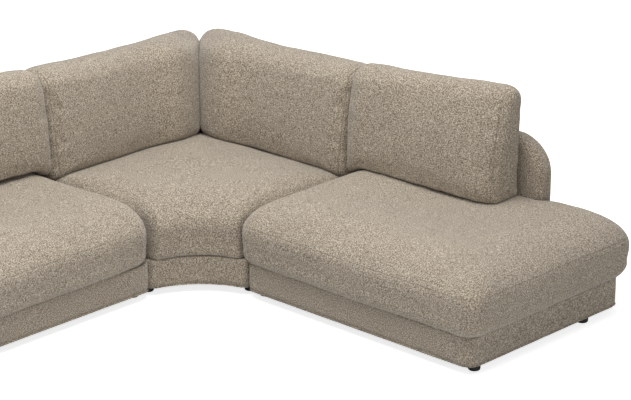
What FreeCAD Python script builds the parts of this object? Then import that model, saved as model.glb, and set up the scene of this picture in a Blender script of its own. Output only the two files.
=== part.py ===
import FreeCAD, Part
import math
import os

# Modular corner sofa: a right wing, a quarter-round corner and a left wing that mirrors the
# right one. Millimetres, +Z up, floor at zero. While it is drawn, the plan's zero is where
# the front lines of the two wings cross: the right wing runs along +X and the left along -Y.

# Overall plan
DEPTH = 970.0               # front of the plinth to the back of the sofa
JOINT = 272.0               # plan's zero to where each wing joins the corner
ARC_CENTRE = 350.0          # plan's zero to the middle of the corner's round front, both ways
ARC_RADIUS = 365.0
WING_WIDTH = 1232.0         # one wing, from its joint to its open end
JOINT_GAP = 1.0             # air between two modules

# Plinth
FOOT_HEIGHT = 35.0          # floor to the underside of the plinth
PLINTH_HEIGHT = 125.0
PLINTH_WALL = 12.0          # padded cover round the timber
PLINTH_EDGE = 5.0           # round along its top and bottom edges
FRONT_ROUND = 45.0          # corners of the plinth in plan
REAR_ROUND = 80.0           # its rear corner at the open end
OUTER_ROUND = 130.0         # outer corner of the corner module

# Timber base
RAIL_THICKNESS = 22.0
BLOCK_SIDE = 70.0
BLOCK_HEIGHT = 60.0
MIDDLE_RAIL_HEIGHT = 80.0
BOARD_THICKNESS = 15.0      # plywood deck of the corner
CLOTH_THICKNESS = 1.5       # black cloth that closes the underside

# Zigzag springs
WIRE = 4.0
SPRING_WIDTH = 60.0
SPRING_LEGS = 21
SPRINGS_AT_BACK = 4         # springs in front of the back panel
SPRINGS_AT_END = 2          # springs in the open end
CLIP_LENGTH = 10.0
CLIP_DEPTH = 12.0

# Feet and their screws
FOOT_DIAMETER = 50.0
FOOT_EDGE = 8.0
FOOT_FROM_SIDE = 44.0
FOOT_FROM_FRONT = 76.0
FOOT_FROM_BACK = 215.0
SCREW_DIAMETER = 8.0
SCREW_HEAD = 16.0
SCREW_HEAD_HEIGHT = 5.0
SCREW_SINK = 12.0           # how far up inside the foot the screw's head bears
SCREW_REACH = 32.0          # how far the screw goes into the timber

# Plates that tie the modules together
TIE_LENGTH = 110.0
TIE_WIDTH = 36.0
TIE_THICKNESS = 3.0
TIE_SCREW = 5.0
TIE_HEAD_HEIGHT = 2.5
TIE_SCREW_REACH = 28.0
TIE_FRONT = 290.0           # front of the plinth to the first tie of a joint
TIE_REAR = 580.0            # and to the second

# Seat cushions
SEAT_BULGE = 46.0           # how far a wing's free side stands out over the plinth
REAR_BULGE = 30.0           # the same at the rear of an open end
CORNER_BULGE = 20.0         # and at the corner's round front
SEAT_WIDEST = 295.0         # height of the widest place
SEAT_TOP = 425.0            # crown of a wing seat
CORNER_SEAT_TOP = 414.0     # crown of the corner seat
SEAT_UNDERCUT = 5.0         # how far the seat's lowest edge lies behind the plinth
SEAT_SHIFT = 12.0           # how far a wing seat pushes over the joint
SEAT_ROUND = 70.0           # corners of a seat in plan
JOINT_ROLL = 1.4             # how late a side at the joint rolls over
REAR_ROLL = 1.2              # the same for the rear
SLOPE_ROLL = 0.5             # the same for the corner seat's slope to its backs
CROWN_REACH = 300.0         # how far the crown rolls in from a free side
JOINT_REACH = 150.0         # and from a side that touches its neighbour
REAR_REACH = 170.0          # and from the rear of an open end
SLOPE_REACH = 560.0         # long slope of the corner seat down to its backs
COVER = 6.0                 # quilted cover of every cushion

# Back panels
BACK_WIDTH = 853.0          # a wing's panel, from the joint
BACK_THICKNESS = 90.0
BACK_TOP = 670.0
BACK_END_ROUND = 165.0      # upper corner at the free end of a panel
BACK_INNER_ROUND = 30.0     # inner corner of the corner module's panel
BACK_EDGE = 34.0            # round along the panel's edges
BACK_PAD = 20.0             # padding round the back's timber
BACK_RAIL = 45.0            # width of the posts and lower rails in the back
BACK_TOP_RAIL = 75.0
MIDDLE_RAIL_LEVEL = 400.0   # underside of the rail half way up the back

# Bolts that hold the backs
BOLT = 8.0
BOLT_HEAD = 15.0
BOLT_HEAD_HEIGHT = 5.3
BOLT_MARGIN = 30.0          # from the rail's edge to a bolt

# Loose back cushions
CUSHION_FRONT = 585.0       # front of the plinth to the front of a cushion's foot
CUSHION_TURN = 85.0         # how much further back the wing cushion's free end stands
WING_FOOT = 372.0           # lowest level, where the seat below doesn't shape it
CORNER_FOOT = 330.0
CORNER_PUFF = 50.0          # how far a corner cushion stands forward where the two meet
CORNER_LEAN = 62.0          # how far its front leans back at the crest
WING_LEAN_IN = 40.0         # the same for a wing cushion at the joint
WING_LEAN_OUT = 95.0        # and at its free end
WING_SLACK = 70.0           # how far its crest stands off the panel at the joint
CUSHION_REST = 3.0          # air between a cushion and the panel behind
CORNER_CREST_IN = 808.0     # crest of a corner cushion where the two meet
CORNER_CREST_OUT = 845.0    # and at its outer end
WING_CREST_IN = 866.0
WING_CREST_OUT = 904.0
WING_CUSHION_END = 1040.0   # from the plan's zero to the wing cushion's free end
END_SWELL = 90.0            # length over which a cushion's end swells to full size
END_PINCH = 36.0            # how much smaller the flat of an end is, all round
INNER_DROOP = 95.0          # how much further the crest falls where two cushions meet
FRONT_BOW = 12.0            # crown of the cushion's front
CREST_BOW = 6.0
FOOT_FRONT_ROUND = 0.24      # corners of a cushion's section, as shares of its neck
FOOT_REAR_ROUND = 0.2
CREST_REAR_ROUND = 0.5
CREST_FRONT_ROUND = 0.38
MITRE_START = 0.12           # where a corner cushion's end starts to slant, as a share
MITRE_LENGTH = 0.38

# Clearances
FIT = 0.3                   # between soft pieces and what they touch
CUSHION_GAP = 1.0           # between neighbouring cushions
HOLE_PLAY = 0.3             # round a screw or bolt

# Levels and places that follow from the above
PLINTH_TOP = FOOT_HEIGHT + PLINTH_HEIGHT
RAIL_BOTTOM = FOOT_HEIGHT + CLOTH_THICKNESS
RAIL_TOP = PLINTH_TOP - BOARD_THICKNESS
RAIL_OUT = PLINTH_WALL + FIT
RAIL_IN = RAIL_OUT + RAIL_THICKNESS
WING_START = JOINT + JOINT_GAP / 2
WING_END = JOINT + WING_WIDTH
CORNER_END = JOINT - JOINT_GAP / 2
SEAT_JOINT = JOINT - SEAT_SHIFT
BACK_FRONT = DEPTH - BACK_THICKNESS
BACK_END = JOINT + BACK_WIDTH
FRAME_FRONT = BACK_FRONT + BACK_PAD + FIT
FRAME_REAR = DEPTH - RAIL_IN
FRAME_TOP = BACK_TOP - BACK_PAD - FIT
CUSHION_REAR = BACK_FRONT - CUSHION_REST
PLAN_CENTRE = (WING_END + SEAT_BULGE - DEPTH - REAR_BULGE) / 2
SPRING_FRONT = RAIL_OUT + RAIL_THICKNESS / 2
SPRING_REAR = DEPTH - SPRING_FRONT
SPRING_LEVEL = RAIL_TOP + WIRE
CLIP_TOP = SPRING_LEVEL + WIRE * 3 / 4
HIGH = 2 * WING_CREST_OUT
UP = FreeCAD.Vector(0, 0, 1)

nodes = {}


def at(x, y, z):
    """Return a point."""
    return FreeCAD.Vector(x, y, z)


def unit(vector):
    """Return the vector at length one."""
    return vector * (1.0 / vector.Length)


def swap(point):
    """Return the point's twin on the other side of the corner's diagonal."""
    return at(-point.y, -point.x, point.z)


def mirrored(shape):
    """Return a piece's twin on the other side of the corner's diagonal."""
    return shape.mirror(at(0, 0, 0), at(1, 1, 0))


def block(x0, x1, y0, y1, z0, z1):
    """Return a box between two corners."""
    return Part.makeBox(x1 - x0, y1 - y0, z1 - z0, at(x0, y0, z0))


def rod(start, direction, diameter, length):
    """Return a round rod."""
    return Part.makeCylinder(diameter / 2, length, start, direction)


def hexagon(start, direction, flats, height):
    """Return a hexagonal prism for a bolt's head or a nut."""
    turn = FreeCAD.Rotation(UP, direction)
    points = []
    for index in range(6):
        angle = math.radians(60 * index + 30)
        radius = flats / math.sqrt(3)
        points.append(start + turn.multVec(at(radius * math.cos(angle), radius * math.sin(angle), 0)))
    points.append(points[0])
    return Part.Face(Part.makePolygon(points)).extrude(direction * height)


def slab(wire, height):
    """Return a wire's face pulled up by a height."""
    return Part.Face(wire).extrude(UP * height)


def outline(corners, radii, bows, normal):
    """Return a closed wire with rounded corners and bowed sides.

    The corners go anticlockwise about the normal. A bow is how far the middle of a side
    stands out from the straight line between its ends.
    """
    count = len(corners)
    starts = []
    middles = []
    ends = []
    for index in range(count):
        corner = corners[index]
        before = unit(corners[index - 1] - corner)
        after = unit(corners[(index + 1) % count] - corner)
        half = before.getAngle(after) / 2
        reach = radii[index] / math.tan(half)
        inward = unit(before + after)
        centre = corner + inward * (radii[index] / math.sin(half))
        starts.append(corner + before * reach)
        middles.append(centre - inward * radii[index])
        ends.append(corner + after * reach)
    edges = []
    for index in range(count):
        edges.append(Part.Arc(starts[index], middles[index], ends[index]).toShape())
        target = starts[(index + 1) % count]
        side = target - ends[index]
        if bows[index]:
            bowed = ends[index] + side * 0.5 + unit(side).cross(normal) * bows[index]
            edges.append(Part.Arc(ends[index], bowed, target).toShape())
        else:
            edges.append(Part.LineSegment(ends[index], target).toShape())
    return Part.Wire(edges)


def rounded_slab(wire, height, edge):
    """Return a slab with the edges round its top and bottom rounded."""
    solid = slab(wire, height)
    rims = [line for line in solid.Edges if line.BoundBox.ZLength < edge / 10]
    return solid.makeFillet(edge, rims)


# Plans of the modules
def wing_plan(inset, z):
    """Return the plan of a wing, drawn in by an inset."""
    corners = [
        at(WING_START + inset, inset, z),
        at(WING_END - inset, inset, z),
        at(WING_END - inset, DEPTH - inset, z),
        at(WING_START + inset, DEPTH - inset, z),
    ]
    radii = [FRONT_ROUND, FRONT_ROUND, REAR_ROUND, FRONT_ROUND]
    return outline(corners, [radius - inset for radius in radii], [0, 0, 0, 0], UP)


def corner_wire(side, front_radius, front_round, rear, rear_round, outer_round, z):
    """Return a plan of the corner: a round front, two joints, two backs, an outer corner.

    The side and rear are how far the joints and the backs lie from the plan's zero. The
    front is part of a circle.
    """
    cos45 = math.sqrt(0.5)
    centre = at(ARC_CENTRE, -ARC_CENTRE, z)
    across = side - front_round - ARC_CENTRE
    along = math.sqrt((front_radius + front_round) ** 2 - across ** 2)
    round_centre = centre + at(across, along, 0)
    toward_front = unit(centre - round_centre)
    front_end = round_centre + toward_front * front_round
    front_middle = round_centre + unit(toward_front + at(1, 0, 0)) * front_round
    side_start = round_centre + at(front_round, 0, 0)
    arc_middle = centre + at(-cos45, cos45, 0) * front_radius
    rear_centre = at(side - rear_round, rear - rear_round, z)
    side_end = rear_centre + at(rear_round, 0, 0)
    rear_middle = rear_centre + at(cos45, cos45, 0) * rear_round
    rear_start = rear_centre + at(0, rear_round, 0)
    outer_centre = at(outer_round - rear, rear - outer_round, z)
    rear_end = outer_centre + at(0, outer_round, 0)
    outer_middle = outer_centre + at(-cos45, cos45, 0) * outer_round
    runs = [
        (swap(front_end), arc_middle, front_end),
        (front_end, front_middle, side_start),
        (side_start, None, side_end),
        (side_end, rear_middle, rear_start),
        (rear_start, None, rear_end),
        (rear_end, outer_middle, swap(rear_end)),
        (swap(rear_end), None, swap(rear_start)),
        (swap(rear_start), swap(rear_middle), swap(side_end)),
        (swap(side_end), None, swap(side_start)),
        (swap(side_start), swap(front_middle), swap(front_end)),
    ]
    edges = []
    for start, middle, end in runs:
        if middle is None:
            edges.append(Part.LineSegment(start, end).toShape())
        else:
            edges.append(Part.Arc(start, middle, end).toShape())
    return Part.Wire(edges)


def corner_plan(inset, z):
    """Return the plan of the corner module, drawn in by an inset."""
    side = CORNER_END - inset
    small = FRONT_ROUND - inset
    return corner_wire(side, ARC_RADIUS + inset, small, DEPTH - inset, small, OUTER_ROUND - inset, z)


# Feet, foot screws and the blocks they go into
def wing_foot_places():
    """Return the plan points of the wing's feet and the way from each to its rail."""
    places = []
    for x, way in ((WING_START + FOOT_FROM_SIDE, -1), (WING_END - FOOT_FROM_SIDE, 1)):
        for y in (FOOT_FROM_FRONT, DEPTH - FOOT_FROM_BACK):
            places.append((at(x, y, 0), at(way, 0, 0)))
    return places


def corner_foot_places():
    """Return the same for the corner, three feet on one side and their twins."""
    side = CORNER_END - FOOT_FROM_SIDE
    own = [
        (at(side, FOOT_FROM_FRONT, 0), at(1, 0, 0)),
        (at(side, DEPTH - FOOT_FROM_BACK, 0), at(1, 0, 0)),
        (at(FOOT_FROM_BACK - DEPTH, DEPTH - FOOT_FROM_SIDE, 0), at(0, 1, 0)),
    ]
    return own + [(swap(place), swap(way)) for place, way in own]


def foot(place):
    """Return one turned foot with a stepped hole for its screw."""
    body = rod(place, UP, FOOT_DIAMETER, RAIL_BOTTOM)
    rim = [edge for edge in body.Edges if edge.BoundBox.ZMax < FOOT_EDGE / 2]
    body = body.makeFillet(FOOT_EDGE, rim)
    body = body.cut(rod(place, UP, SCREW_HEAD + 2 * HOLE_PLAY, SCREW_SINK))
    return body.cut(rod(place, UP, SCREW_DIAMETER + 2 * HOLE_PLAY, RAIL_BOTTOM))


def foot_screw(place):
    """Return the screw that holds a foot, with its head up inside the foot."""
    head = rod(place + UP * (SCREW_SINK - SCREW_HEAD_HEIGHT), UP, SCREW_HEAD, SCREW_HEAD_HEIGHT)
    length = RAIL_BOTTOM + SCREW_REACH - SCREW_SINK
    return head.fuse(rod(place + UP * SCREW_SINK, UP, SCREW_DIAMETER, length))


def foot_block(place, way):
    """Return the block over a foot, glued to the rail that lies that way."""
    middle = place + way * (FOOT_FROM_SIDE - RAIL_IN - BLOCK_SIDE / 2)
    half = BLOCK_SIDE / 2
    top = RAIL_BOTTOM + BLOCK_HEIGHT
    wood = block(middle.x - half, middle.x + half, middle.y - half, middle.y + half, RAIL_BOTTOM, top)
    return wood.cut(rod(place, UP, SCREW_DIAMETER, RAIL_BOTTOM + SCREW_REACH))


# Tie plates under each joint, screwed up into the rails on both sides
def tie_places():
    """Return the plan points of the ties of the right joint."""
    return [at(JOINT, TIE_FRONT, 0), at(JOINT, TIE_REAR, 0)]


def tie_screw_places():
    """Return the plan points of their screws."""
    reach = at(JOINT_GAP / 2 + RAIL_OUT + RAIL_THICKNESS / 2, 0, 0)
    places = []
    for tie in tie_places():
        places += [tie + reach, tie - reach]
    return places


def tie_plate(place):
    """Return one plate with its holes."""
    half = at(TIE_LENGTH / 2, TIE_WIDTH / 2, 0)
    low = place - half
    high = place + half
    plate = block(low.x, high.x, low.y, high.y, FOOT_HEIGHT - TIE_THICKNESS, FOOT_HEIGHT)
    for screw in tie_screw_places():
        plate = plate.cut(rod(screw, UP, TIE_SCREW + 2 * HOLE_PLAY, FOOT_HEIGHT))
    return plate


def tie_screw(place):
    """Return one screw under a tie plate."""
    under = FOOT_HEIGHT - TIE_THICKNESS
    head = rod(place + UP * (under - TIE_HEAD_HEIGHT), UP, 2 * TIE_SCREW, TIE_HEAD_HEIGHT)
    return head.fuse(rod(place + UP * under, UP, TIE_SCREW, TIE_THICKNESS + TIE_SCREW_REACH))


def drilled_for_ties(shape):
    """Return a rail or cloth drilled for the tie screws of both joints."""
    for place in tie_screw_places():
        hole = rod(place, UP, TIE_SCREW, FOOT_HEIGHT + TIE_SCREW_REACH)
        shape = shape.cut(hole).cut(mirrored(hole))
    return shape


def dust_cloth(plan, feet):
    """Return the cloth that closes a base from below."""
    cloth = slab(plan(RAIL_OUT, FOOT_HEIGHT), CLOTH_THICKNESS)
    for place, _ in feet:
        cloth = cloth.cut(rod(place, UP, FOOT_DIAMETER + 2 * FIT, RAIL_BOTTOM))
    return drilled_for_ties(cloth)


def plinth_cover(plan):
    """Return the padded sleeve round a base."""
    outer = rounded_slab(plan(0, FOOT_HEIGHT), PLINTH_HEIGHT, PLINTH_EDGE)
    return outer.cut(slab(plan(PLINTH_WALL, FOOT_HEIGHT), PLINTH_HEIGHT))


# Posts and bolts of the backs
def wing_post_spans():
    """Return where the two posts of a wing's back stand, along X."""
    first = WING_START + RAIL_IN
    last = BACK_END - BACK_PAD - FIT
    return [(first, first + BACK_RAIL), (last - BACK_RAIL, last)]


def corner_post_spans():
    """Return the same for the corner's right back."""
    first = OUTER_ROUND - DEPTH
    last = CORNER_END - RAIL_IN
    return [(first, first + BACK_RAIL), (last - BACK_RAIL, last)]


def bolt_places(spans):
    """Return where the bolts cross the front of the posts."""
    places = []
    for start, end in spans:
        for z in (RAIL_BOTTOM + BOLT_MARGIN, RAIL_TOP - BOLT_MARGIN):
            places.append(at((start + end) / 2, FRAME_FRONT, z))
    return places


def bolt_pieces(place, play):
    """Return a bolt and its nut, from a post's front to the rail's rear, grown by a play."""
    rear = at(0, 1, 0)
    length = DEPTH - RAIL_OUT - FRAME_FRONT
    shank = rod(place, rear, BOLT + 2 * play, length)
    head = hexagon(place + rear * length, rear * -1, BOLT_HEAD + 2 * play, BOLT_HEAD_HEIGHT)
    nut = hexagon(place, rear, BOLT_HEAD + 2 * play, BOLT_HEAD_HEIGHT)
    return [shank.fuse(head), nut.cut(shank)]


def bored_for_bolts(shape, spans):
    """Return a rail or post with the holes for the bolts."""
    for place in bolt_places(spans):
        for piece in bolt_pieces(place, HOLE_PLAY):
            shape = shape.cut(piece)
    return shape


def bolts(spans):
    """Return all bolts and nuts of a back."""
    pieces = []
    for place in bolt_places(spans):
        pieces += bolt_pieces(place, 0)
    return pieces


# Wing base
def wing_rails():
    """Return the base's four rails, and the rail beside the free end of the back."""
    left = WING_START + RAIL_IN
    right = WING_END - RAIL_IN
    ring = slab(wing_plan(RAIL_OUT, RAIL_BOTTOM), RAIL_TOP - RAIL_BOTTOM)
    ring = ring.cut(block(left, right, RAIL_IN, FRAME_REAR, 0, HIGH))
    front_rail = ring.common(block(WING_START, WING_END, 0, RAIL_IN, 0, HIGH))
    back_rail = ring.common(block(WING_START, WING_END, FRAME_REAR, DEPTH, 0, HIGH))
    left_rail = ring.common(block(WING_START, left, RAIL_IN, FRAME_REAR, 0, HIGH))
    right_rail = ring.common(block(right, WING_END, RAIL_IN, FRAME_REAR, 0, HIGH))
    back_rail = bored_for_bolts(back_rail, wing_post_spans())
    start = wing_post_spans()[1][1]
    end = start + RAIL_THICKNESS
    top = RAIL_BOTTOM + MIDDLE_RAIL_HEIGHT
    middle_rail = block(start, end, RAIL_IN, FRAME_REAR, RAIL_BOTTOM, top)
    return [front_rail, back_rail, drilled_for_ties(left_rail), right_rail, middle_rail]


# Corner base
def corner_rails():
    """Return the corner's rails: front, two joints, two backs, outer corner, diagonal."""
    inside = slab(corner_plan(RAIL_IN, RAIL_BOTTOM), RAIL_TOP - RAIL_BOTTOM)
    ring = slab(corner_plan(RAIL_OUT, RAIL_BOTTOM), RAIL_TOP - RAIL_BOTTOM).cut(inside)
    post_corner = block(0, CORNER_END - RAIL_IN, DEPTH / 2, FRAME_REAR, 0, HIGH)
    ring = ring.cut(post_corner).cut(mirrored(post_corner))
    joint_zone = block(CORNER_END - RAIL_IN, CORNER_END, RAIL_IN, FRAME_REAR, 0, HIGH)
    back_zone = block(OUTER_ROUND - DEPTH, CORNER_END, FRAME_REAR, DEPTH, 0, HIGH)
    outer_zone = block(-DEPTH, OUTER_ROUND - DEPTH, DEPTH - OUTER_ROUND, DEPTH, 0, HIGH)
    joint_rail = drilled_for_ties(ring.common(joint_zone))
    back_rail = bored_for_bolts(ring.common(back_zone), corner_post_spans())
    front_rail = ring
    for zone in (joint_zone, back_zone, mirrored(joint_zone), mirrored(back_zone), outer_zone):
        front_rail = front_rail.cut(zone)
    half = RAIL_THICKNESS / 2
    beam = block(-2 * DEPTH, 2 * DEPTH, -half, half, RAIL_TOP - MIDDLE_RAIL_HEIGHT, RAIL_TOP)
    beam.rotate(at(0, 0, 0), UP, -45)
    own = [joint_rail, back_rail]
    twins = [mirrored(piece) for piece in own]
    return own + twins + [front_rail, ring.common(outer_zone), beam.common(inside)]


def corner_board():
    """Return the corner's deck, notched round the posts."""
    board = slab(corner_plan(RAIL_OUT, RAIL_TOP), BOARD_THICKNESS)
    for start, end in corner_post_spans():
        notch = block(start - FIT, end + FIT, FRAME_FRONT - FIT, FRAME_REAR + FIT, 0, HIGH)
        board = board.cut(notch).cut(mirrored(notch))
    return board


# Zigzag springs from the front rail to the back rail
def spring_lines():
    """Return the X of each spring of a wing."""
    behind, end_post = wing_post_spans()
    bays = [
        (behind[1], end_post[0], SPRINGS_AT_BACK),
        (end_post[1], WING_END - RAIL_IN, SPRINGS_AT_END),
    ]
    lines = []
    for start, end, count in bays:
        for index in range(count):
            lines.append(start + (end - start) * (index + 0.5) / count)
    return lines


def zigzag(x):
    """Return one spring: straight legs across, joined by half turns."""
    turn = (SPRING_REAR - SPRING_FRONT) / (SPRING_LEGS - 1) / 2
    half = (SPRING_WIDTH - WIRE) / 2
    leg = half - turn
    tail = CLIP_LENGTH / 2 + WIRE
    start = at(x - tail, SPRING_FRONT, SPRING_LEVEL)
    last = start
    side = 1
    path = []
    for index in range(SPRING_LEGS - 1):
        y = SPRING_FRONT + index * 2 * turn
        stop = at(x + side * leg, y, SPRING_LEVEL)
        far = at(x + side * half, y + turn, SPRING_LEVEL)
        path.append(Part.LineSegment(last, stop).toShape())
        last = at(x + side * leg, y + 2 * turn, SPRING_LEVEL)
        path.append(Part.Arc(stop, far, last).toShape())
        side = -side
    path.append(Part.LineSegment(last, at(x + side * tail, SPRING_REAR, SPRING_LEVEL)).toShape())
    ring = Part.Wire(Part.makeCircle(WIRE / 2, start, at(1, 0, 0)))
    return Part.Wire(path).makePipeShell([ring], True, False)


def spring_clip(x, y):
    """Return one clip nailed to a rail, with a bore for the spring's end."""
    half_length = CLIP_LENGTH / 2
    half_depth = CLIP_DEPTH / 2
    left = x - half_length
    body = block(left, x + half_length, y - half_depth, y + half_depth, RAIL_TOP, CLIP_TOP)
    return body.cut(rod(at(left, y, SPRING_LEVEL), at(1, 0, 0), WIRE + 2 * HOLE_PLAY, CLIP_LENGTH))


def wing_springs():
    """Return a wing's springs."""
    return [zigzag(x) for x in spring_lines()]


def wing_clips():
    """Return the clips at both ends of a wing's springs."""
    clips = []
    for x in spring_lines():
        clips += [spring_clip(x, SPRING_FRONT), spring_clip(x, SPRING_REAR)]
    return clips


def wing_felt():
    """Return the felt between the springs and the seat."""
    felt = slab(wing_plan(RAIL_OUT, CLIP_TOP), PLINTH_TOP - CLIP_TOP)
    for start, end in wing_post_spans():
        felt = felt.cut(block(start - FIT, end + FIT, FRAME_FRONT - FIT, FRAME_REAR + FIT, 0, HIGH))
    return felt


# Seat cushions
def seat_layers(top, grow):
    """Return a seat's layers from bottom to top: height, swell and roll.

    The sides swell from the plinth to the widest place, where the swell is one. Above it they
    roll over into the crown, where the roll comes near one.
    """
    layers = []
    bottom = PLINTH_TOP + max(-grow, 0)
    for degrees in (-90, -60, -30, 0):
        angle = math.radians(degrees)
        layers.append((SEAT_WIDEST + (SEAT_WIDEST - bottom) * math.sin(angle), math.cos(angle), 0))
    steepest = math.sin(math.radians(80))
    for degrees in (9, 18, 27, 36, 48, 60, 70, 80):
        angle = math.radians(degrees)
        rise = math.sin(angle) / steepest
        layers.append((SEAT_WIDEST + (top + grow - SEAT_WIDEST) * rise, 1, 1 - math.cos(angle)))
    return layers


def standout(bulge, swell, reach, roll, grow):
    """Return how far a side stands out at one layer."""
    return (bulge + SEAT_UNDERCUT) * swell - SEAT_UNDERCUT - reach * roll + grow


def wing_seat(grow):
    """Return a wing's seat with the place of the back panel let in.

    A grow above zero makes the whole form larger.
    """
    wires = []
    for z, swell, roll in seat_layers(SEAT_TOP, grow):
        free = standout(SEAT_BULGE, swell, CROWN_REACH, roll, grow)
        left = SEAT_JOINT + CUSHION_GAP / 2 - standout(0, swell, JOINT_REACH, roll ** JOINT_ROLL, grow)
        rear = DEPTH + standout(REAR_BULGE, swell, REAR_REACH, roll ** REAR_ROLL, grow)
        corners = [
            at(left, -free, z),
            at(WING_END + free, -free, z),
            at(WING_END + free, rear, z),
            at(left, rear, z),
        ]
        wires.append(outline(corners, [SEAT_ROUND] * 4, [0] * 4, UP))
    room = FIT - grow
    space = block(-DEPTH, BACK_END + room, BACK_FRONT - room, 2 * DEPTH, 0, HIGH)
    return Part.makeLoft(wires, True, False).cut(space)


def corner_seat(grow):
    """Return the corner's seat with its hollow round front and its slope to the backs."""
    wires = []
    front_round = SEAT_ROUND / 2
    for z, swell, roll in seat_layers(CORNER_SEAT_TOP, grow):
        front = standout(CORNER_BULGE, swell, CROWN_REACH, roll, grow)
        side = SEAT_JOINT - CUSHION_GAP / 2 + standout(0, swell, JOINT_REACH, roll ** JOINT_ROLL, grow)
        rear = BACK_FRONT - FIT + standout(0, swell, SLOPE_REACH, roll ** SLOPE_ROLL, grow)
        wires.append(corner_wire(side, ARC_RADIUS - front, front_round, rear, front_round, SEAT_ROUND, z))
    backs = corner_back_block(JOINT, (grow - FIT, 0), 0, HIGH)
    return Part.makeLoft(wires, True, False).cut(backs)


# Loose back cushions
def cushion_section(place, inset, front, rear, foot, crest):
    """Return one upright section of a cushion, drawn in all round by an inset.

    The place function puts a depth and a height in the section's plane. Front and rear are
    pairs of depths, at the foot and at the crest.
    """
    corners = [
        place(front[0] + inset, foot + inset),
        place(rear[0] - inset, foot + inset),
        place(rear[1] - inset, crest - inset),
        place(front[1] + inset, crest - inset),
    ]
    neck = rear[1] - front[1] - 2 * inset
    rounds = (FOOT_FRONT_ROUND, FOOT_REAR_ROUND, CREST_REAR_ROUND, CREST_FRONT_ROUND)
    radii = [neck * share for share in rounds]
    normal = unit((corners[1] - corners[0]).cross(corners[3] - corners[0]))
    return outline(corners, radii, [0, 0, CREST_BOW, FRONT_BOW], normal)


def shrink(distance):
    """Return how small a section is at a distance from the end, from one down to zero."""
    share = min(distance / END_SWELL, 1)
    return 1 - math.sqrt(1 - (1 - share) ** 2)


def stations(length):
    """Return where a cushion's sections stand, close together near its ends."""
    near = [END_SWELL * share for share in (0, 0.06, 0.25, 0.6, 1)]
    middle = [length * share for share in (0.3, 0.5, 0.7)]
    return near + middle + [length - spot for spot in reversed(near)]


def between(start, end, share):
    """Return the value a share of the way from start to end."""
    return start + (end - start) * share


def wing_cushion(inset):
    """Return a wing's back cushion, its free end turned towards the back."""
    start = SEAT_JOINT + CUSHION_GAP / 2 + inset
    length = WING_CUSHION_END - inset - start
    wires = []
    for spot in stations(length):
        share = spot / length
        x = start + spot
        foot_front = CUSHION_FRONT + CUSHION_TURN * share
        front = (foot_front, foot_front + between(WING_LEAN_IN, WING_LEAN_OUT, share))
        rear = (CUSHION_REAR, CUSHION_REAR - WING_SLACK * (1 - share))
        crest = between(WING_CREST_IN, WING_CREST_OUT, share)
        drawn = inset + END_PINCH * shrink(min(spot, length - spot))
        wires.append(cushion_section(lambda y, z: at(x, y, z), drawn, front, rear, WING_FOOT, crest))
    return Part.makeLoft(wires, True, False)


def corner_cushion(inset):
    """Return the corner's right back cushion, mitred where it meets its twin."""
    start = -CUSHION_FRONT + (CUSHION_GAP / 2 + inset) * math.sqrt(2)
    length = SEAT_JOINT - CUSHION_GAP / 2 - inset - start
    wires = []
    for spot in stations(length):
        share = spot / length
        x = start + spot
        # the sections turn from the mitre to square by the middle of the cushion
        slant = min(max(share - MITRE_START, 0) / MITRE_LENGTH, 1) - 1
        foot_front = CUSHION_FRONT - CORNER_PUFF * slant ** 2
        front = (foot_front, foot_front + CORNER_LEAN)
        rear = (CUSHION_REAR, CUSHION_REAR)
        crest = between(CORNER_CREST_IN, CORNER_CREST_OUT, share) - INNER_DROOP * shrink(spot / 2)
        drawn = inset + END_PINCH * shrink(min(spot, length - spot))

        def place(y, z):
            return at(x + slant * (y - CUSHION_FRONT), y, z)

        wires.append(cushion_section(place, drawn, front, rear, CORNER_FOOT, crest))
    return Part.makeLoft(wires, True, False)


def cushion_pieces(form, seat):
    """Return a cushion's cover with its hollow, and its filling, both shaped by the seat."""
    outer = form(0).cut(seat(FIT))
    hollow = form(COVER).cut(seat(FIT + COVER))
    filling = form(COVER + FIT).cut(seat(COVER + 2 * FIT))
    return outer.cut(hollow), filling


# Back panels
def wing_back_block(start, inset, front, rear, bottom):
    """Return a block of the panel's outline, drawn in at its top and free end."""
    end = BACK_END - inset
    top = BACK_TOP - inset
    radius = BACK_END_ROUND - inset
    slope = radius * (1 - math.sqrt(0.5))
    turn_start = at(end, front, top - radius)
    turn_middle = at(end - slope, front, top - slope)
    turn_end = at(end - radius, front, top)
    edges = [
        Part.LineSegment(at(start, front, bottom), at(end, front, bottom)).toShape(),
        Part.LineSegment(at(end, front, bottom), turn_start).toShape(),
        Part.Arc(turn_start, turn_middle, turn_end).toShape(),
        Part.LineSegment(turn_end, at(start, front, top)).toShape(),
        Part.LineSegment(at(start, front, top), at(start, front, bottom)).toShape(),
    ]
    return Part.Face(Part.Wire(edges)).extrude(at(0, rear - front, 0))


def wing_back_cover():
    """Return the padded cover of a wing's back, open underneath."""
    panel = wing_back_block(WING_START, 0, BACK_FRONT, DEPTH, PLINTH_TOP)
    rims = []
    for line in panel.Edges:
        box = line.BoundBox
        on_face = box.YLength < FIT and box.ZMax > PLINTH_TOP + FIT
        at_joint = box.XMax < WING_START + FIT
        if on_face and not at_joint:
            rims.append(line)
    panel = panel.makeFillet(BACK_EDGE, rims)
    start = WING_START + RAIL_IN - FIT
    return panel.cut(wing_back_block(start, BACK_PAD, FRAME_FRONT - FIT, FRAME_REAR + FIT, 0))


def wing_back_frame():
    """Return the posts and rails inside a wing's back."""
    spans = wing_post_spans()
    room = wing_back_block(spans[0][0], BACK_PAD + FIT, FRAME_FRONT, FRAME_REAR, 0)
    return frame_pieces(room, spans, [])


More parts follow.
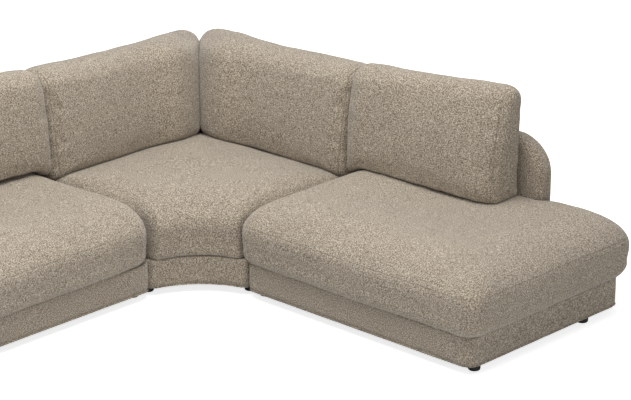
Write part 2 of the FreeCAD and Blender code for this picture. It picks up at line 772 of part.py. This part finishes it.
def frame_pieces(room, spans, twins):
    """Return a back's posts from the base up, and the rails between them.

    The twins are the spans of posts in the back on the diagonal's other side.
    """
    posts = []
    for start, end in spans:
        post = block(start, end, FRAME_FRONT, FRAME_REAR, RAIL_BOTTOM, HIGH).common(room)
        posts.append(bored_for_bolts(post, [(start, end)]))
    for start, end in twins:
        post = block(start, end, FRAME_FRONT, FRAME_REAR, RAIL_BOTTOM, HIGH)
        posts.append(mirrored(bored_for_bolts(post.common(room), [(start, end)])))
    columns = [block(start, end, 0, DEPTH, 0, HIGH) for start, end in spans]
    columns += [mirrored(block(start, end, 0, DEPTH, 0, HIGH)) for start, end in twins]
    levels = [
        (PLINTH_TOP, PLINTH_TOP + BACK_RAIL),
        (MIDDLE_RAIL_LEVEL, MIDDLE_RAIL_LEVEL + BACK_RAIL),
        (FRAME_TOP - BACK_TOP_RAIL, FRAME_TOP),
    ]
    rails = []
    for bottom, top in levels:
        layer = room.common(block(-DEPTH, WING_END, -DEPTH, DEPTH, bottom, top))
        for column in columns:
            layer = layer.cut(column)
        rails += layer.Solids
    return posts + rails


def corner_back_block(end, inset, bottom, top):
    """Return the corner's two backs as one block, drawn in at front and rear by insets."""
    front = BACK_FRONT + inset[0]
    rear = DEPTH - inset[1]
    inner = BACK_INNER_ROUND + inset[0]
    outer = OUTER_ROUND - inset[1]
    cos45 = math.sqrt(0.5)
    outer_start = at(outer - rear, rear, bottom)
    outer_middle = at(outer - rear, rear - outer, bottom) + at(-cos45, cos45, 0) * outer
    inner_end = at(inner - BACK_FRONT - inset[0], front, bottom)
    inner_middle = at(inner - front, front - inner, bottom) + at(-cos45, cos45, 0) * inner
    corner_front = at(end, front, bottom)
    corner_rear = at(end, rear, bottom)
    edges = [
        Part.LineSegment(corner_front, corner_rear).toShape(),
        Part.LineSegment(corner_rear, outer_start).toShape(),
        Part.Arc(outer_start, outer_middle, swap(outer_start)).toShape(),
        Part.LineSegment(swap(outer_start), swap(corner_rear)).toShape(),
        Part.LineSegment(swap(corner_rear), swap(corner_front)).toShape(),
        Part.LineSegment(swap(corner_front), swap(inner_end)).toShape(),
        Part.Arc(swap(inner_end), inner_middle, inner_end).toShape(),
        Part.LineSegment(inner_end, corner_front).toShape(),
    ]
    return slab(Part.Wire(edges), top - bottom)


def corner_back_cover():
    """Return the padded cover of the corner's two backs, open underneath."""
    panel = corner_back_block(CORNER_END, (0, 0), PLINTH_TOP, BACK_TOP)
    rims = []
    for line in panel.Edges:
        box = line.BoundBox
        at_joint = box.XMin > CORNER_END - FIT or box.YMax < FIT - CORNER_END
        if box.ZMin > BACK_TOP - FIT and not at_joint:
            rims.append(line)
    panel = panel.makeFillet(BACK_EDGE, rims)
    insets = (BACK_PAD, RAIL_IN - FIT)
    hollow = corner_back_block(CORNER_END - RAIL_IN + FIT, insets, 0, BACK_TOP - BACK_PAD)
    return panel.cut(hollow)


def corner_back_frame():
    """Return the posts and rails inside the corner's backs."""
    insets = (BACK_PAD + FIT, RAIL_IN)
    room = corner_back_block(CORNER_END - RAIL_IN, insets, 0, FRAME_TOP)
    return frame_pieces(room, corner_post_spans(), corner_post_spans())


# The finished pieces
def feet_pieces(make, places):
    """Return what belongs to each foot of a module."""
    return [make(place) for place, _ in places]


def keep_pair(name, pieces):
    """Keep a right-hand node and its mirrored left-hand twin."""
    nodes["right_" + name] = pieces
    nodes["left_" + name] = [mirrored(piece) for piece in pieces]


def keep_corner(name, pieces, twinned):
    """Keep a node of the corner, with the twins of its pieces where they are half of it."""
    if twinned:
        pieces = pieces + [mirrored(piece) for piece in pieces]
    nodes["corner_" + name] = pieces


wing_feet = wing_foot_places()
keep_pair("base_rails", wing_rails())
keep_pair("foot_blocks", [foot_block(place, way) for place, way in wing_feet])
keep_pair("springs", wing_springs())
keep_pair("spring_clips", wing_clips())
keep_pair("deck_felt", [wing_felt()])
keep_pair("plinth_cover", [plinth_cover(wing_plan)])
keep_pair("dust_cloth", [dust_cloth(wing_plan, wing_feet)])
keep_pair("feet", feet_pieces(foot, wing_feet))
keep_pair("foot_screws", feet_pieces(foot_screw, wing_feet))
keep_pair("seat_cover", [wing_seat(0).cut(wing_seat(-COVER))])
keep_pair("seat_core", [wing_seat(-COVER - FIT)])
keep_pair("back_frame", wing_back_frame())
keep_pair("back_cover", [wing_back_cover()])
keep_pair("back_bolts", bolts(wing_post_spans()))
wing_cushion_cover, wing_cushion_core = cushion_pieces(wing_cushion, wing_seat)
keep_pair("back_cushion_cover", [wing_cushion_cover])
keep_pair("back_cushion_core", [wing_cushion_core])

corner_feet = corner_foot_places()
keep_corner("base_rails", corner_rails(), False)
keep_corner("foot_blocks", [foot_block(place, way) for place, way in corner_feet], False)
keep_corner("deck_board", [corner_board()], False)
keep_corner("plinth_cover", [plinth_cover(corner_plan)], False)
keep_corner("dust_cloth", [dust_cloth(corner_plan, corner_feet)], False)
keep_corner("feet", feet_pieces(foot, corner_feet), False)
keep_corner("foot_screws", feet_pieces(foot_screw, corner_feet), False)
keep_corner("seat_cover", [corner_seat(0).cut(corner_seat(-COVER))], False)
keep_corner("seat_core", [corner_seat(-COVER - FIT)], False)
keep_corner("back_frame", corner_back_frame(), False)
keep_corner("back_cover", [corner_back_cover()], False)
keep_corner("back_bolts", bolts(corner_post_spans()), True)
keep_corner("joint_ties", [tie_plate(place) for place in tie_places()], True)
keep_corner("tie_screws", [tie_screw(place) for place in tie_screw_places()], True)
corner_cushion_cover, corner_cushion_core = cushion_pieces(corner_cushion, corner_seat)
nodes["corner_right_cushion_cover"] = [corner_cushion_cover]
nodes["corner_right_cushion_core"] = [corner_cushion_core]
nodes["corner_left_cushion_cover"] = [mirrored(corner_cushion_cover)]
nodes["corner_left_cushion_core"] = [mirrored(corner_cushion_core)]

os.makedirs("parts", exist_ok=True)
for name, pieces in nodes.items():
    shape = Part.makeCompound(pieces)
    shape.translate(at(-PLAN_CENTRE, PLAN_CENTRE, 0))
    shape.exportStep("parts/" + name + ".step")
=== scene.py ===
import math

import bpy
from mathutils import Matrix, Vector, noise


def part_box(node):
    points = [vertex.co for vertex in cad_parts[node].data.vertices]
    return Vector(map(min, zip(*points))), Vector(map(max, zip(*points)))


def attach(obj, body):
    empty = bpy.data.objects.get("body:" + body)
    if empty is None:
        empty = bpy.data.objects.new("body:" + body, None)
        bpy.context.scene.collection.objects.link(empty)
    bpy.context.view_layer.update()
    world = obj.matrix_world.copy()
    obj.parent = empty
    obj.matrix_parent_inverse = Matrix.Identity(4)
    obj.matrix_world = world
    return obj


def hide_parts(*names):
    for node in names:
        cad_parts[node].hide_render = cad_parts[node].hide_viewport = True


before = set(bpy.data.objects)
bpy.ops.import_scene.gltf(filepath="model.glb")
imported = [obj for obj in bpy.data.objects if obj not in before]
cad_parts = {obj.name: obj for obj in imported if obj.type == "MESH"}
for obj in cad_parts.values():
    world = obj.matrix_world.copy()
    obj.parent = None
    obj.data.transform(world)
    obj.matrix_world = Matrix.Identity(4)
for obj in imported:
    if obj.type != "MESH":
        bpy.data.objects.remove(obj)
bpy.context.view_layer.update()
bpy.ops.object.select_all(action="DESELECT")

# Camera. It stands in front of the round corner, a little to the right of the diagonal, and
# looks down on the sofa through a long lens. The left wing runs out of the picture.
DOWNWARD_LOOK = 19.919       # degrees
TURN = 43.389
bpy.ops.object.camera_add(location=(7.77193, -7.52283, 4.42025))
camera = bpy.context.object
camera.name = "photo_camera"
camera.rotation_euler = (math.radians(90 - DOWNWARD_LOOK), 0, math.radians(TURN))
camera.data.sensor_width = 36
camera.data.lens = 162.05
camera.data.clip_end = 60
bpy.context.scene.camera = camera


# Floor, backdrop and light. The floor is pale paper that shows white to the camera and keeps
# the sofa's soft shadow. The widest lamp hangs overhead. A low one stands at the right wing's
# open end, and a weaker one lights the sofa from behind.
def srgb(code):
    """Return a written colour as the shader's linear values."""
    values = []
    for place in (0, 2, 4):
        share = int(code[place:place + 2], 16) / 255
        values.append(share / 12.92 if share <= 0.04045 else ((share + 0.055) / 1.055) ** 2.4)
    return (*values, 1.0)


def add(tree, kind, links=(), **settings):
    """Add a shader node, set it up and link its sockets."""
    node = tree.nodes.new(kind)
    for name, value in settings.items():
        setattr(node, name, value)
    for socket, source in links:
        if isinstance(source, bpy.types.NodeSocket):
            tree.links.new(source, node.inputs[socket])
        else:
            node.inputs[socket].default_value = source
    return node


def new_material(name):
    """Start a material and return it with its tree, surface shader and object coordinates."""
    material = bpy.data.materials.new(name)
    material.use_nodes = True
    tree = material.node_tree
    shader = tree.nodes["Principled BSDF"]
    place = add(tree, "ShaderNodeTexCoord").outputs["Object"]
    return material, tree, shader, place


def relief(tree, shader, settings):
    """Give a surface its relief."""
    bump = add(tree, "ShaderNodeBump", settings)
    tree.links.new(bump.outputs["Normal"], shader.inputs["Normal"])


WHITE = (1, 1, 1, 1)
bpy.ops.mesh.primitive_plane_add(size=40, location=(0, 0, 0))
floor = bpy.context.object
floor.name = "paper_floor"
paper, tree, shader, place = new_material("white_paper")
shader.inputs["Base Color"].default_value = srgb("D6D6D6")
shader.inputs["Roughness"].default_value = 0.9
shader.inputs["Emission Color"].default_value = WHITE
seen = add(tree, "ShaderNodeLightPath").outputs["Is Camera Ray"]
glow = add(tree, "ShaderNodeMath", [(0, seen), (1, 0.78)], operation="MULTIPLY")
tree.links.new(glow.outputs[0], shader.inputs["Emission Strength"])
grain = add(tree, "ShaderNodeTexNoise", [("Vector", place), ("Scale", 40.0)])
relief(tree, shader, [("Height", grain.outputs["Fac"]), ("Strength", 0.02)])
floor.data.materials.append(paper)

world = bpy.data.worlds.new("studio")
bpy.context.scene.world = world
world.use_nodes = True
tree = world.node_tree
room = tree.nodes["Background"]
room.inputs["Color"].default_value = WHITE
room.inputs["Strength"].default_value = 0.25
backdrop = add(tree, "ShaderNodeBackground", [("Color", WHITE), ("Strength", 1.0)])
path = add(tree, "ShaderNodeLightPath").outputs
rays = [(0, path["Is Camera Ray"]), (1, path["Is Glossy Ray"])]
shown = add(tree, "ShaderNodeMath", rays, operation="MAXIMUM").outputs[0]
either = [(0, shown), (1, room.outputs[0]), (2, backdrop.outputs[0])]
mix = add(tree, "ShaderNodeMixShader", either)
tree.links.new(mix.outputs[0], tree.nodes["World Output"].inputs["Surface"])

for name, spot, turn, width, power in (
    ("overhead_lamp", (0.3, -0.6, 4.2), (0, 0, 0), 4.0, 204.0),
    ("front_lamp", (6.5, -2.2, 1.7), (80, 0, 75), 3.0, 84.0),
    ("rear_lamp", (-3.4, 3.4, 3.2), (58, 0, 225), 3.0, 45.0),
):
    radians = [math.radians(degrees) for degrees in turn]
    bpy.ops.object.light_add(type="AREA", location=spot, rotation=radians)
    lamp = bpy.context.object
    lamp.name = name
    lamp.data.shape = "DISK"
    lamp.data.size = width
    lamp.data.energy = power


# Timber inside. Rails, foot blocks and the posts of the low backs are planed softwood with
# long grain, glued, screwed and bolted together before any cloth goes on.
def two_colours(tree, shader, factor, dark, pale):
    """Colour a surface between a dark and a pale tone."""
    tint = add(tree, "ShaderNodeValToRGB", [("Fac", factor)])
    tint.color_ramp.elements[0].color = srgb(dark)
    tint.color_ramp.elements[1].color = srgb(pale)
    tree.links.new(tint.outputs["Color"], shader.inputs["Base Color"])


def worn(tree, shader, factor, smoothest, roughest):
    """Let a surface's roughness wander between two values."""
    wear = add(tree, "ShaderNodeMapRange", [("Value", factor), ("To Min", smoothest), ("To Max", roughest)])
    tree.links.new(wear.outputs[0], shader.inputs["Roughness"])


def paint(material, *endings):
    """Give every CAD node whose name has one of these endings a material."""
    for name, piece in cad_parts.items():
        if name.endswith(endings):
            for part in piece.material_slots:
                part.material = material


wood, tree, shader, place = new_material("planed_timber")
waves = [("Vector", place), ("Scale", 22.0), ("Distortion", 6.0), ("Detail", 3.0), ("Detail Scale", 1.5)]
rings = add(tree, "ShaderNodeTexWave", waves)
two_colours(tree, shader, rings.outputs["Fac"], "B88A58", "DDB884")
shader.inputs["Roughness"].default_value = 0.7
paint(wood, "_rails", "_blocks", "_frame")

# Feet. Short round feet of black moulded plastic with a rounded lower edge, each held to its
# block by one screw from below.
plastic, tree, shader, place = new_material("black_plastic")
speck = add(tree, "ShaderNodeTexNoise", [("Vector", place), ("Scale", 900.0), ("Detail", 2.0)])
worn(tree, shader, speck.outputs["Fac"], 0.42, 0.60)
relief(tree, shader, [("Height", speck.outputs["Fac"]), ("Strength", 0.15), ("Distance", 0.0004)])
shader.inputs["Base Color"].default_value = srgb("17171A")
paint(plastic, "_feet")

# Steel inside. Bright springs snap into zinc plated clips on the rails, and plates, bolts and
# screws of the same plated steel hold the frame and the three modules together.
steel, tree, shader, place = new_material("plated_steel")
spangle = add(tree, "ShaderNodeTexVoronoi", [("Vector", place), ("Scale", 300.0)])
worn(tree, shader, spangle.outputs["Distance"], 0.3, 0.5)
shader.inputs["Metallic"].default_value = 1.0
shader.inputs["Base Color"].default_value = srgb("B9BABA")
paint(steel, "_springs", "_clips", "_bolts", "_screws", "_ties")

# Felt. A sheet of grey needled felt lies over the springs and keeps them off the foam.
felt, tree, shader, place = new_material("grey_felt")
fibres = add(tree, "ShaderNodeTexNoise", [("Vector", place), ("Scale", 500.0), ("Detail", 5.0)])
two_colours(tree, shader, fibres.outputs["Fac"], "6D6A66", "A5A19B")
shader.inputs["Roughness"].default_value = 1.0
paint(felt, "_felt")

# Underside cloth. Black spun cloth is stapled under each plinth and closes it from below,
# with holes for the feet.
cloth, tree, shader, place = new_material("underside_cloth")
fibres = add(tree, "ShaderNodeTexNoise", [("Vector", place), ("Scale", 700.0), ("Detail", 4.0)])
two_colours(tree, shader, fibres.outputs["Fac"], "121212", "2C2C2C")
shader.inputs["Roughness"].default_value = 0.95
relief(tree, shader, [("Height", fibres.outputs["Fac"]), ("Strength", 0.3), ("Distance", 0.0005)])
paint(cloth, "_dust_cloth")

# Boucle cloth, which covers every padded piece. Pale and brown yarns are twisted together
# and stand up in small loops, so the colour is speckled and the surface is pebbly; painted
# shade darkens the hollows between the loops. It also wraps the corner's deck board, which
# shows in two small corners beside the seat.
boucle, tree, shader, place = new_material("boucle")
loops = add(tree, "ShaderNodeTexVoronoi", [("Vector", place), ("Scale", 230.0), ("Randomness", 1.0)])
mixture = [("Vector", place), ("Scale", 225.0), ("Detail", 3.0), ("Roughness", 0.6)]
tone = add(tree, "ShaderNodeTexNoise", mixture)
yarn = add(tree, "ShaderNodeValToRGB", [("Fac", tone.outputs["Fac"])])
yarn.color_ramp.elements[0].position = 0.37
yarn.color_ramp.elements[0].color = srgb("655948")
yarn.color_ramp.elements[1].position = 0.63
yarn.color_ramp.elements[1].color = srgb("D3C7B4")
middle = yarn.color_ramp.elements.new(0.50)
middle.color = srgb("9F9281")
patch = add(tree, "ShaderNodeTexNoise", [("Vector", place), ("Scale", 6.0), ("Detail", 2.0)])
uneven = [("Value", patch.outputs["Fac"]), ("To Min", 0.93), ("To Max", 1.07)]
shade = add(tree, "ShaderNodeMapRange", uneven)
# Painted shade: the yarn colour is darkened from 1.06 to 0.80 towards the edges of the loop cells, the
# hollows where the bump sinks, and multiplied with the random patchy tone.
between = [("Value", loops.outputs["Distance"]), ("From Max", 0.8), ("To Min", 1.06), ("To Max", 0.80)]
painted_hollow_shade = add(tree, "ShaderNodeMapRange", between)
both = [(0, shade.outputs[0]), (1, painted_hollow_shade.outputs[0])]
depth = add(tree, "ShaderNodeMath", both, operation="MULTIPLY")
colour = add(tree, "ShaderNodeVectorMath", [(0, yarn.outputs["Color"])], operation="SCALE")
tree.links.new(depth.outputs[0], colour.inputs["Scale"])
tree.links.new(colour.outputs[0], shader.inputs["Base Color"])
fuzz = add(tree, "ShaderNodeTexNoise", [("Vector", place), ("Scale", 420.0), ("Detail", 2.0)])
raising = [(0, loops.outputs["Distance"]), (1, -0.8), (2, fuzz.outputs["Fac"])]
raised = add(tree, "ShaderNodeMath", raising, operation="MULTIPLY_ADD")
relief(tree, shader, [("Height", raised.outputs[0]), ("Strength", 0.45), ("Distance", 0.003)])
shader.inputs["Roughness"].default_value = 0.95
shader.inputs["Sheen Weight"].default_value = 0.25
shader.inputs["Sheen Roughness"].default_value = 0.6
shader.inputs["Specular IOR Level"].default_value = 0.2
paint(boucle, "_board")


# Plinths. Each module stands on a timber box inside a thin padded sleeve, pulled round the
# lower edge and stapled underneath, which leaves the edges soft and the ends rounded.
def choose(piece):
    """Select one piece alone and make it the active one."""
    bpy.ops.object.select_all(action="DESELECT")
    piece.select_set(True)
    bpy.context.view_layer.objects.active = piece


def padded_copy(node, name, face_size):
    """Start a padded piece as a closed skin of even small faces in a CAD node's place."""
    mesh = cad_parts[node].data.copy()
    piece = bpy.data.objects.new(name, mesh)
    bpy.context.collection.objects.link(piece)
    choose(piece)
    bpy.ops.object.mode_set(mode="EDIT")
    bpy.ops.mesh.select_all(action="SELECT")
    bpy.ops.mesh.remove_doubles(threshold=0.0001)
    bpy.ops.object.mode_set(mode="OBJECT")
    mesh.materials.clear()
    mesh.materials.append(boucle)
    mesh.remesh_voxel_size = face_size
    bpy.ops.object.voxel_remesh()
    return piece


def relax(piece, rounds):
    """Even out a piece's surface."""
    soften = piece.modifiers.new("soften", "SMOOTH")
    soften.factor = 0.5
    soften.iterations = rounds
    bpy.context.view_layer.objects.active = piece
    bpy.ops.object.modifier_apply(modifier=soften.name)


def move_points(piece, change):
    """Move each point of a piece by what the change says for its place and direction."""
    moved = [vertex.co + change(vertex.co, vertex.normal) for vertex in piece.data.vertices]
    for vertex, spot in zip(piece.data.vertices, moved):
        vertex.co = spot
    piece.data.update()


def finish(piece, body, levels):
    """Give a padded piece its last surface and its body."""
    if levels:
        fine = piece.modifiers.new("fine", "SUBSURF")
        fine.levels = levels
        fine.render_levels = levels
        bpy.context.view_layer.objects.active = piece
        bpy.ops.object.modifier_apply(modifier=fine.name)
    for face in piece.data.polygons:
        face.use_smooth = True
    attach(piece, body)


SLEEVE_FACES = 0.005
LOWER_PULL = 0.012           # how far the cloth is drawn in along the lower edge
LOWER_EDGE = 0.020           # how high that reaches
UPPER_PULL = 0.002
UPPER_EDGE = 0.010
SLEEVE_WAVE = 0.0015
plinth_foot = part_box("right_plinth_cover")[0].z
plinth_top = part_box("right_plinth_cover")[1].z


def pulled_edges(co, direction):
    """Return how the sleeve is drawn in along its edges and levelled on top."""
    flat = Vector((direction.x, direction.y, 0))
    if flat.length < 0.3:
        return Vector((0, 0, plinth_top - co.z)) if direction.z > 0 else Vector()
    low = max(0, LOWER_EDGE - (co.z - plinth_foot)) / LOWER_EDGE
    high = max(0, UPPER_EDGE - (plinth_top - co.z)) / UPPER_EDGE
    wave = SLEEVE_WAVE * noise.noise(co * 9)
    return flat.normalized() * (wave - LOWER_PULL * low * low - UPPER_PULL * high * high)


for side in ("right", "corner", "left"):
    plinth = padded_copy(side + "_plinth_cover", side + "_plinth_sleeve", SLEEVE_FACES)
    relax(plinth, 3)
    move_points(plinth, pulled_edges)
    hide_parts(side + "_plinth_cover")
    finish(plinth, "frame", 0)


# Seats. A foam block wrapped in fibre sits on each plinth. Its cover is sewn from a top, a
# boxing strip and a base, and the upper seam runs round it just above the widest place.
def swell_out(piece, distance):
    """Move a piece's skin outwards, from the filling's size to the cover's."""
    move_points(piece, lambda co, direction: direction * distance)


def plump(piece, pressure, furthest, slack):
    """Blow a piece up as cloth from inside, moving no point further than is allowed."""
    before = [vertex.co.copy() for vertex in piece.data.vertices]
    cloth = piece.modifiers.new("cloth", "CLOTH")
    cloth.settings.quality = 4
    cloth.settings.mass = 0.4
    cloth.settings.use_pressure = True
    cloth.settings.uniform_pressure_force = pressure
    cloth.settings.effector_weights.gravity = 0
    cloth.settings.shrink_min = -slack
    cloth.point_cache.frame_end = CLOTH_STEPS
    for step in range(1, CLOTH_STEPS + 1):
        bpy.context.scene.frame_set(step)
    graph = bpy.context.evaluated_depsgraph_get()
    after = [vertex.co.copy() for vertex in piece.evaluated_get(graph).data.vertices]
    piece.modifiers.remove(cloth)
    bpy.context.scene.frame_set(1)
    for vertex, old, new in zip(piece.data.vertices, before, after):
        move = new - old
        if move.length > furthest:
            move = move * (furthest / move.length)
        vertex.co = old + move


def filled(node, name, face_size, rounds, pressure, furthest, slack):
    """Return a stuffed piece in the place of a CAD filling, as large as its cover."""
    piece = padded_copy(node, name, face_size)
    relax(piece, rounds)
    swell_out(piece, COVER)
    plump(piece, pressure, furthest, slack)
    relax(piece, 2)
    return piece


def twin(piece, name):
    """Return a mirrored copy of a piece for the other side of the sofa's diagonal."""
    mesh = piece.data.copy()
    mesh.transform(Matrix(((0, -1, 0, 0), (-1, 0, 0, 0), (0, 0, 1, 0), (0, 0, 0, 1))))
    mesh.flip_normals()
    other = bpy.data.objects.new(name, mesh)
    bpy.context.collection.objects.link(other)
    return other


def step_up(value, start, end):
    """Return a smooth step from zero to one as the value goes from start to end."""
    share = min(max((value - start) / (end - start), 0), 1)
    return share * share * (3 - 2 * share)


def near(co, x, y, reach):
    """Return a share that falls from one at a place on the plan to zero at its reach."""
    return 1 - step_up(math.hypot(co.x - x, co.y - y), reach * 0.1, reach)


def stitch(piece, point, normal, depth, where):
    """Sew a seam: cut three lines of points where a plane meets the piece, and sink the middle."""
    choose(piece)
    point = Vector(point)
    normal = Vector(normal)
    bpy.ops.object.mode_set(mode="EDIT")
    for step in (-1, 0, 1):
        bpy.ops.mesh.select_all(action="SELECT")
        bpy.ops.mesh.bisect(plane_co=point + normal * (SEAM_WIDTH * step), plane_no=normal)
    bpy.ops.object.mode_set(mode="OBJECT")

    def sink(co, direction):
        gap = abs((co - point).dot(normal))
        if gap < SEAM_WIDTH / 2 and where(direction):
            return direction * -depth
        return Vector()

    move_points(piece, sink)


def tucked(co, direction):
    """Return the move that keeps a seat's lower edge crisp and close to the plinth."""
    if co.z > LOWER_ZONE:
        return Vector()
    slant = step_up(-direction.z, 0.10, 0.45) * (1 - step_up(-direction.z, 0.85, 0.97))
    move = direction * (TUCK * slant)
    if direction.z < -0.9:
        move.z += min(0, plinth_top + SEAT_LIFT - co.z)
    return move


def pebbled(co, direction, seed):
    """Return the slight unevenness of a filled cover."""
    spot = co + Vector((seed, 2 * seed, 0))
    return direction * (0.004 * noise.noise(spot * 3.1) + 0.0015 * noise.noise(spot * 12))


def seat_shape(corner, corner_move, sat_on, sag, seed):
    """Return a seat's own shape.

    Its front corner is pushed by a move, and the place that is sat on sags. Both places are
    a point on the plan and a reach.
    """
    def shape(co, direction):
        move = Vector(corner_move) * near(co, *corner)
        move.z -= sag * step_up(co.z, CROWN_START, CROWN_END) * near(co, *sat_on)
        return move + tucked(co, direction) + pebbled(co, direction, seed)

    return shape


SEAT_FACES = 0.014
COVER = 0.006                # cloth and fibre over the foam
CLOTH_STEPS = 16
LOWER_ZONE = 0.22            # below this height the seat is tucked in
TUCK = 0.010
SEAT_LIFT = 0.001
CROWN_START = 0.34
CROWN_END = 0.42
SEAM_LEVEL = 0.327
SEAM_WIDTH = 0.004
SEAT_SEAM_DEPTH = 0.0025

right_seat = filled("right_seat_core", "right_seat_cushion", SEAT_FACES, 8, 4.0, 0.006, 0.01)
left_seat = twin(right_seat, "left_seat_cushion")
move_points(right_seat, seat_shape((-0.03, 0.24, 0.26), (-0.013, 0, 0), (0.62, 0.86, 0.50), 0.024, 0))
left_sat_on = (-0.86, -0.40, 0.55)
move_points(left_seat, seat_shape((-0.24, 0.03, 0.24), (-0.014, -0.016, 0), left_sat_on, 0.018, 3.7))
corner_seat = filled("corner_seat_core", "corner_seat_cushion", SEAT_FACES, 8, 4.0, 0.006, 0.01)
move_points(corner_seat, seat_shape((-0.02, 0.30, 0.24), (-0.010, 0, 0), (0, 0, 1), 0, 7.1))
for seat, side in ((right_seat, "right"), (corner_seat, "corner"), (left_seat, "left")):
    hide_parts(side + "_seat_cover", side + "_seat_core")
    finish(seat, "frame", 1)
    stitch(seat, (0, 0, SEAM_LEVEL), (0, 0, 1), SEAT_SEAM_DEPTH, lambda direction: abs(direction.z) < 0.8)


# Low backs. Padded panels stand behind the cushions on timber posts. Their cloth wraps over
# the softly rounded top and end, and the padding has settled a little along the top.
def panel_shape(co, direction):
    """Return how a panel's padding has settled."""
    sunk = PANEL_SAG * step_up(co.z, 0.50, 0.66)
    uneven = 0.002 * noise.noise(co * 5) + 0.001 * noise.noise(co * 16)
    return Vector((0, 0, -sunk)) + direction * uneven


PANEL_FACES = 0.009
PANEL_SAG = 0.010
for side in ("right", "corner", "left"):
    panel = padded_copy(side + "_back_cover", side + "_back_panel", PANEL_FACES)
    relax(panel, 3)
    move_points(panel, panel_shape)
    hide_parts(side + "_back_cover")
    finish(panel, "frame", 0)


# Loose back cushions. Each is a soft cover over a fibre filling, with a panel sewn in at its
# free end. The cloth puckers along the ends, and the cushions lean on the low backs.
def pillow_shape(box, low_crest, seed, stretch, sag, mitre):
    """Return a pillow's own shape.

    Its crest stands low, and its free end is stretched at the top and sags at the foot. The
    mitre is the end that meets the other cushion in the corner, as a share of the length.
    """
    low, high = box
    along_x = high.x - low.x > high.y - low.y
    length = high.x - low.x if along_x else high.y - low.y
    folds = Vector((9, 26, 26)) if along_x else Vector((26, 9, 26))

    def shape(co, direction):
        spot = co + Vector((seed, seed, seed))
        place = co.x - low.x if along_x else co.y - low.y
        pucker = 1 - step_up(min(place, length - place), 0.03, 0.13)
        swell = 0.005 * noise.noise(spot * 3.5) + 0.0012 * noise.noise(spot * 14)
        swell += 0.003 * pucker * noise.noise(spot * folds)
        if mitre is not None:
            corner = 1 - step_up(abs(place - mitre * length), 0.06, 0.24)
            swell += MITRE_FILL * corner * step_up(direction.z, 0.15, 0.65)
        crest = step_up(co.z, 0.62, 0.90)
        outward = stretch * step_up(place, length - 0.10, length) * step_up(co.z, 0.50, 0.85)
        foot = step_up(place, 0.2 * length, 0.85 * length) * (1 - step_up(co.z, 0.38, 0.70))
        upward = (0.003 * noise.noise(spot * 9) - low_crest) * crest - sag * foot
        return direction * swell + Vector((outward, 0, upward))

    return shape


PILLOW_FACES = 0.012
MITRE_FILL = 0.017           # how much fuller the corner cushions are where they meet
END_PANEL = 0.030            # from a pillow's free end to its seam
END_SEAM_DEPTH = 0.005
right_core, corner_core = "right_back_cushion_core", "corner_right_cushion_core"
right_pillow = filled(right_core, "right_back_pillow", PILLOW_FACES, 5, 5.0, 0.007, 0.02)
corner_right_pillow = filled(corner_core, "corner_right_pillow", PILLOW_FACES, 5, 5.0, 0.007, 0.02)
left_pillow = twin(right_pillow, "left_back_pillow")
corner_left_pillow = twin(corner_right_pillow, "corner_left_pillow")
for pillow, body, low_crest, seed, stretch, sag, mitre in (
    (right_pillow, "right_back_cushion", 0.0, 1.3, 0.010, 0.020, None),
    (corner_right_pillow, "corner_right_cushion", 0.0, 4.1, 0.0, 0.0, 0),
    (corner_left_pillow, "corner_left_cushion", 0.008, 6.6, 0.0, 0.0, 1),
    (left_pillow, "left_back_cushion", 0.016, 9.2, 0.0, 0.0, None),
):
    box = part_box(body + "_core")
    move_points(pillow, pillow_shape(box, low_crest, seed, stretch, sag, mitre))
    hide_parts(body + "_cover", body + "_core")
    finish(pillow, body, 1)
for pillow in (right_pillow, corner_right_pillow):
    seam = max(corner[0] for corner in pillow.bound_box) - END_PANEL
    stitch(pillow, (seam, 0, 0), (1, 0, 0), END_SEAM_DEPTH, lambda direction: direction.x > -0.6)
for pillow in (left_pillow, corner_left_pillow):
    seam = min(corner[1] for corner in pillow.bound_box) + END_PANEL
    stitch(pillow, (0, seam, 0), (0, 1, 0), END_SEAM_DEPTH, lambda direction: direction.y < 0.6)

bpy.context.scene.view_settings.view_transform = "Standard"
